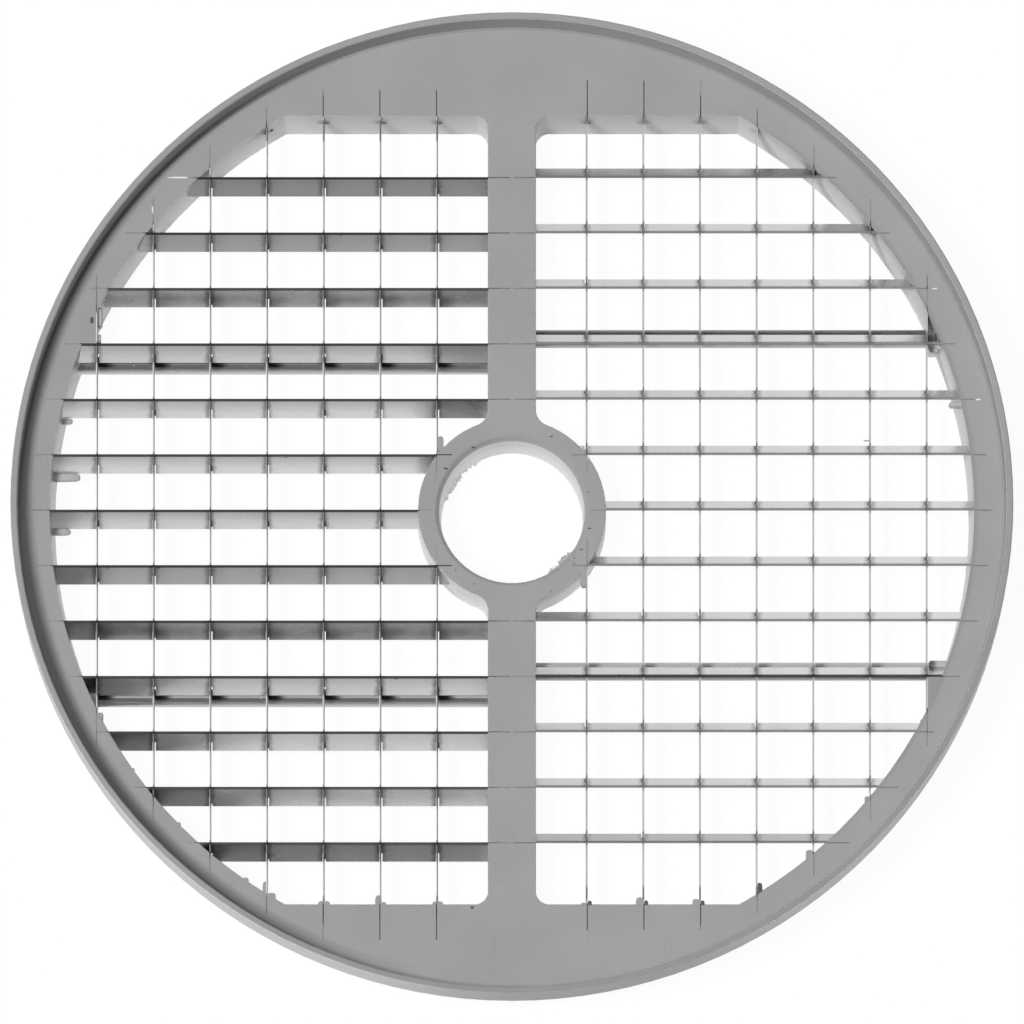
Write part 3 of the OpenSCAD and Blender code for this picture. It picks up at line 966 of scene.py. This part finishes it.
def lap_places(seed):
    """Middles and sizes of the dark lumps in the lap slots, which are left bare more often on the left."""
    chance = random.Random(seed)
    step = PITCH / MM
    out, up, down = LAP_OFFSET
    wide, *rest = LAP_SIZE
    places = []
    for side in (-1, 1):
        for row in range(-6, 7):
            for col in range(7):
                x = FIRST_CROSS_X / MM + col * step
                in_hub = col == 0 and abs(row) < 2
                bare = chance.random() < LAP_BARE[side]
                if in_hub or bare or math.hypot(x, row * step + side * 2) > WINDOW_R / MM - 1.5:
                    continue
                swell = chance.uniform(0.9, 1.2)
                places.append((
                    (side * (x + out), row * step + side * up, FACE_Z / MM + down), (wide * swell, *rest)))
    return places


def burr(name, start, end, radius, top, foot, reach, seed):
    """Ragged fringe on the wall of the bore between two angles in degrees."""
    chance = random.Random(seed)
    shape = bmesh.new()
    steps = 110
    sections = []
    wave = 0.0
    for step in range(steps + 1):
        share = step / steps
        angle = math.radians(start + (end - start) * share)
        wave = 0.8 * wave + chance.uniform(-0.3, 0.3)
        tear = min(1.2, max(0.25, 0.7 + wave + chance.uniform(-0.12, 0.12)))
        bite = reach * math.sin(math.pi * share) ** 0.4 * tear
        sag = chance.uniform(0.0, 0.25) * MM
        sections.append([
            shape.verts.new((distance * math.cos(angle), distance * math.sin(angle), height))
            for distance, height in (
                (radius + 0.3 * MM, top), (radius - bite * 0.3, foot + (top - foot) * 0.4),
                (radius - bite, foot + sag), (radius - bite + 0.1 * MM, foot + sag - 0.08 * MM),
                (radius + 0.3 * MM, foot - 0.2 * MM))])
    count = len(sections[0])
    for near, far in zip(sections, sections[1:]):
        for side in range(count):
            after = (side + 1) % count
            shape.faces.new((near[side], near[after], far[after], far[side]))
    shape.faces.new(sections[0])
    shape.faces.new(sections[-1])
    bmesh.ops.recalc_face_normals(shape, faces=shape.faces)
    return to_mesh(shape, name)


class DICING_OT_flash(Operator):
    """Lugs, nubs and burrs of squeezed-out plastic, dark lumps in the lap slots, painted shade in the voids round
    the strips, stains on the face, and painted glints on the embedded edges
    """

    bl_idname = "dicing.flash"
    bl_label = "Flash and Marks"

    def execute(self, context):
        chosen = settings().flash
        tree = lump_tree()
        tab_z = FACE_Z / MM - 0.01 - TAB_DEPTH / 2
        # The lugs and nubs below the face take the painted lighter tone.
        flash = plastic("flash_plastic", chosen.tone, chosen.lug_lit_tone, chosen.lug_lit_tone, 0.08, 0.0)
        lap_filler, dark, bright = (
            plastic(name, tone, tone, tone, mottle, 0.0) for name, tone, mottle in (
                ("lap_fill_plastic", chosen.lap_fill_tone, 0.3), ("dark_plastic", chosen.dark_tone, 0.2),
                ("painted_glint", chosen.glint_tone, 0.1)))
        for name, places, rounded, fineness, squareness, ragged, material in (
                ("flash_lugs", LUGS, True, 3, 0.35, chosen.raggedness * 2, flash),
                ("flash_nubs", NUBS, True, 3, 0.35, chosen.raggedness, flash),
                ("flash_tabs", at_height(TABS, tab_z, TAB_DEPTH), False, 3, 0.0, chosen.raggedness, flash),
                ("dark_tabs", at_height(DARK_TABS, tab_z, TAB_DEPTH), False, 3, 0.0, chosen.raggedness, dark),
                # Dark lumps set in the lap slots.
                ("lap_fill", lap_places(chosen.seed), True, 1, 0.2, chosen.raggedness, lap_filler),
                # Dark lumps painted as the shade in voids round the strips, and stains on the face.
                ("void_shade_and_stains", [*SHADED_VOIDS, *at_height(FACE_MARKS, 10.99, 0.04)], True, 3, 0.0, 0.0, dark),
                # Painted glints on the embedded edges of the strips.
                ("edge_glints", at_height(GLINTS, 11.0, 0.05), True, 3, 0.3, 0.0, bright)):
            mesh = lumps(name, tree, places, rounded, fineness, squareness, ragged, chosen.seed, material)
            place_piece(name, mesh, None)
        pale = bpy.data.materials["grey_moulding"]
        for name, start, end, radius, top, foot, share, material in (
                ("bore_burr_back", 110, 168, BORE_R, 3.6 * MM, 0.6 * MM, 0.9, pale),
                ("bore_burr_front", -62, -32, BORE_R + MOUTH_EASE, FACE_Z - 1.6 * MM, FACE_Z - MOUTH_DEPTH, 1.0,
                 flash)):
            mesh = burr(name, start, end, radius, top, foot, chosen.burr * share, chosen.seed)
            place_piece(name, mesh, material)
        return {"FINISHED"}


class DICING_OT_stage(Operator):
    """White table, soft key light, even room light and the camera"""

    bl_idname = "dicing.stage"
    bl_label = "Table, Light and Camera"

    def execute(self, context):
        chosen = settings().stage
        scene = bpy.context.scene
        scene.view_settings.view_transform = "Standard"
        self.camera(scene, chosen)
        self.table(chosen)
        self.lights(scene, chosen)
        return {"FINISHED"}

    def camera(self, scene, chosen):
        data = bpy.data.cameras.new("camera")
        data.type = "ORTHO"
        data.ortho_scale = chosen.width
        camera = new_object("camera", data)
        back = Vector((0, -math.sin(chosen.tilt), math.cos(chosen.tilt)))
        camera.location = Vector(chosen.aim) + back * chosen.distance
        camera.rotation_euler = (-back).to_track_quat("-Z", "Y").to_euler()
        scene.camera = camera

    def table(self, chosen):
        shape = bmesh.new()
        bmesh.ops.create_cube(shape, size=1)
        bmesh.ops.translate(shape, vec=(0, 0, -0.5), verts=shape.verts)
        bmesh.ops.scale(shape, vec=(TABLE_SIDE, TABLE_SIDE, TABLE_DEPTH), verts=shape.verts)
        mesh = to_mesh(shape, "table")
        material, tree = new_material("white_table")
        tree.nodes.clear()
        path = add(tree, "ShaderNodeLightPath").outputs
        seen = most(tree, path["Is Camera Ray"], path["Is Glossy Ray"], path["Is Transmission Ray"])
        plain = add(tree, "ShaderNodeBsdfDiffuse", {"Color": colour(chosen.floor)})
        shaded = add(tree, "ShaderNodeBsdfDiffuse", {"Color": grey(chosen.shadow)})
        white = add(tree, "ShaderNodeEmission", {"Strength": 1 - chosen.shadow * OPEN_LIGHT})
        both = add(tree, "ShaderNodeAddShader", {0: shaded.outputs[0], 1: white.outputs[0]})
        choice = add(tree, "ShaderNodeMixShader", {0: seen, 1: plain.outputs[0], 2: both.outputs[0]})
        add(tree, "ShaderNodeOutputMaterial", {0: choice.outputs[0]})
        mesh.materials.append(material)
        table = new_object("table", mesh)

    def sun(self, name, toward, level, soft):
        """Soft distant lamp that gives a level face this share of plain light."""
        data = bpy.data.lights.new(name, "SUN")
        data.angle = soft
        data.energy = level * math.pi / toward.z
        lamp = new_object(name, data)
        lamp.rotation_euler = toward.to_track_quat("Z", "Y").to_euler()
        lamp.visible_glossy = False

    def lights(self, scene, chosen):
        level = math.cos(chosen.key_rise)
        toward = Vector((
            level * math.cos(chosen.key_turn), level * math.sin(chosen.key_turn), math.sin(chosen.key_rise)))
        self.sun("key", toward, chosen.key_level, chosen.key_soft)
        front = Vector((0, -math.sin(chosen.tilt), math.cos(chosen.tilt)))
        self.sun("front", front, chosen.front_level, FRONT_SOFT)
        world = bpy.data.worlds.new("room")
        world.use_nodes = True
        world.node_tree.nodes["Background"].inputs["Color"].default_value = (1, 1, 1, 1)
        world.node_tree.nodes["Background"].inputs["Strength"].default_value = chosen.room_level
        scene.world = world


STEPS = (
    DICING_OT_moulding,
    DICING_OT_rows,
    DICING_OT_crosses,
    DICING_OT_rods,
    DICING_OT_flash,
    DICING_OT_stage,
)


class DICING_PT_panel(Panel):
    """Steps that finish the dicing grid"""

    bl_idname = "DICING_PT_panel"
    bl_label = "Dicing Grid"
    bl_space_type = "VIEW_3D"
    bl_region_type = "UI"
    bl_category = "Dicing Grid"

    def draw(self, context):
        for step in STEPS:
            self.layout.operator(step.bl_idname)
        for group in ("moulding", "blades", "flash", "stage"):
            box = self.layout.box()
            chosen = getattr(context.scene.dicing_grid, group)
            for name in type(chosen).__annotations__:
                box.prop(chosen, name)


CLASSES = (
    MouldingSettings, BladeSettings, FlashSettings, StageSettings, DicingGridSettings, *STEPS, DICING_PT_panel)


def register():
    for item in CLASSES:
        bpy.utils.register_class(item)
    bpy.types.Scene.dicing_grid = PointerProperty(type=DicingGridSettings)


def unregister():
    del bpy.types.Scene.dicing_grid
    for item in reversed(CLASSES):
        bpy.utils.unregister_class(item)


def main():
    register()
    bpy.ops.dicing.moulding()
    bpy.ops.dicing.rows()
    bpy.ops.dicing.crosses()
    bpy.ops.dicing.rods()
    bpy.ops.dicing.flash()
    bpy.ops.dicing.stage()


if __name__ == "__main__":
    main()
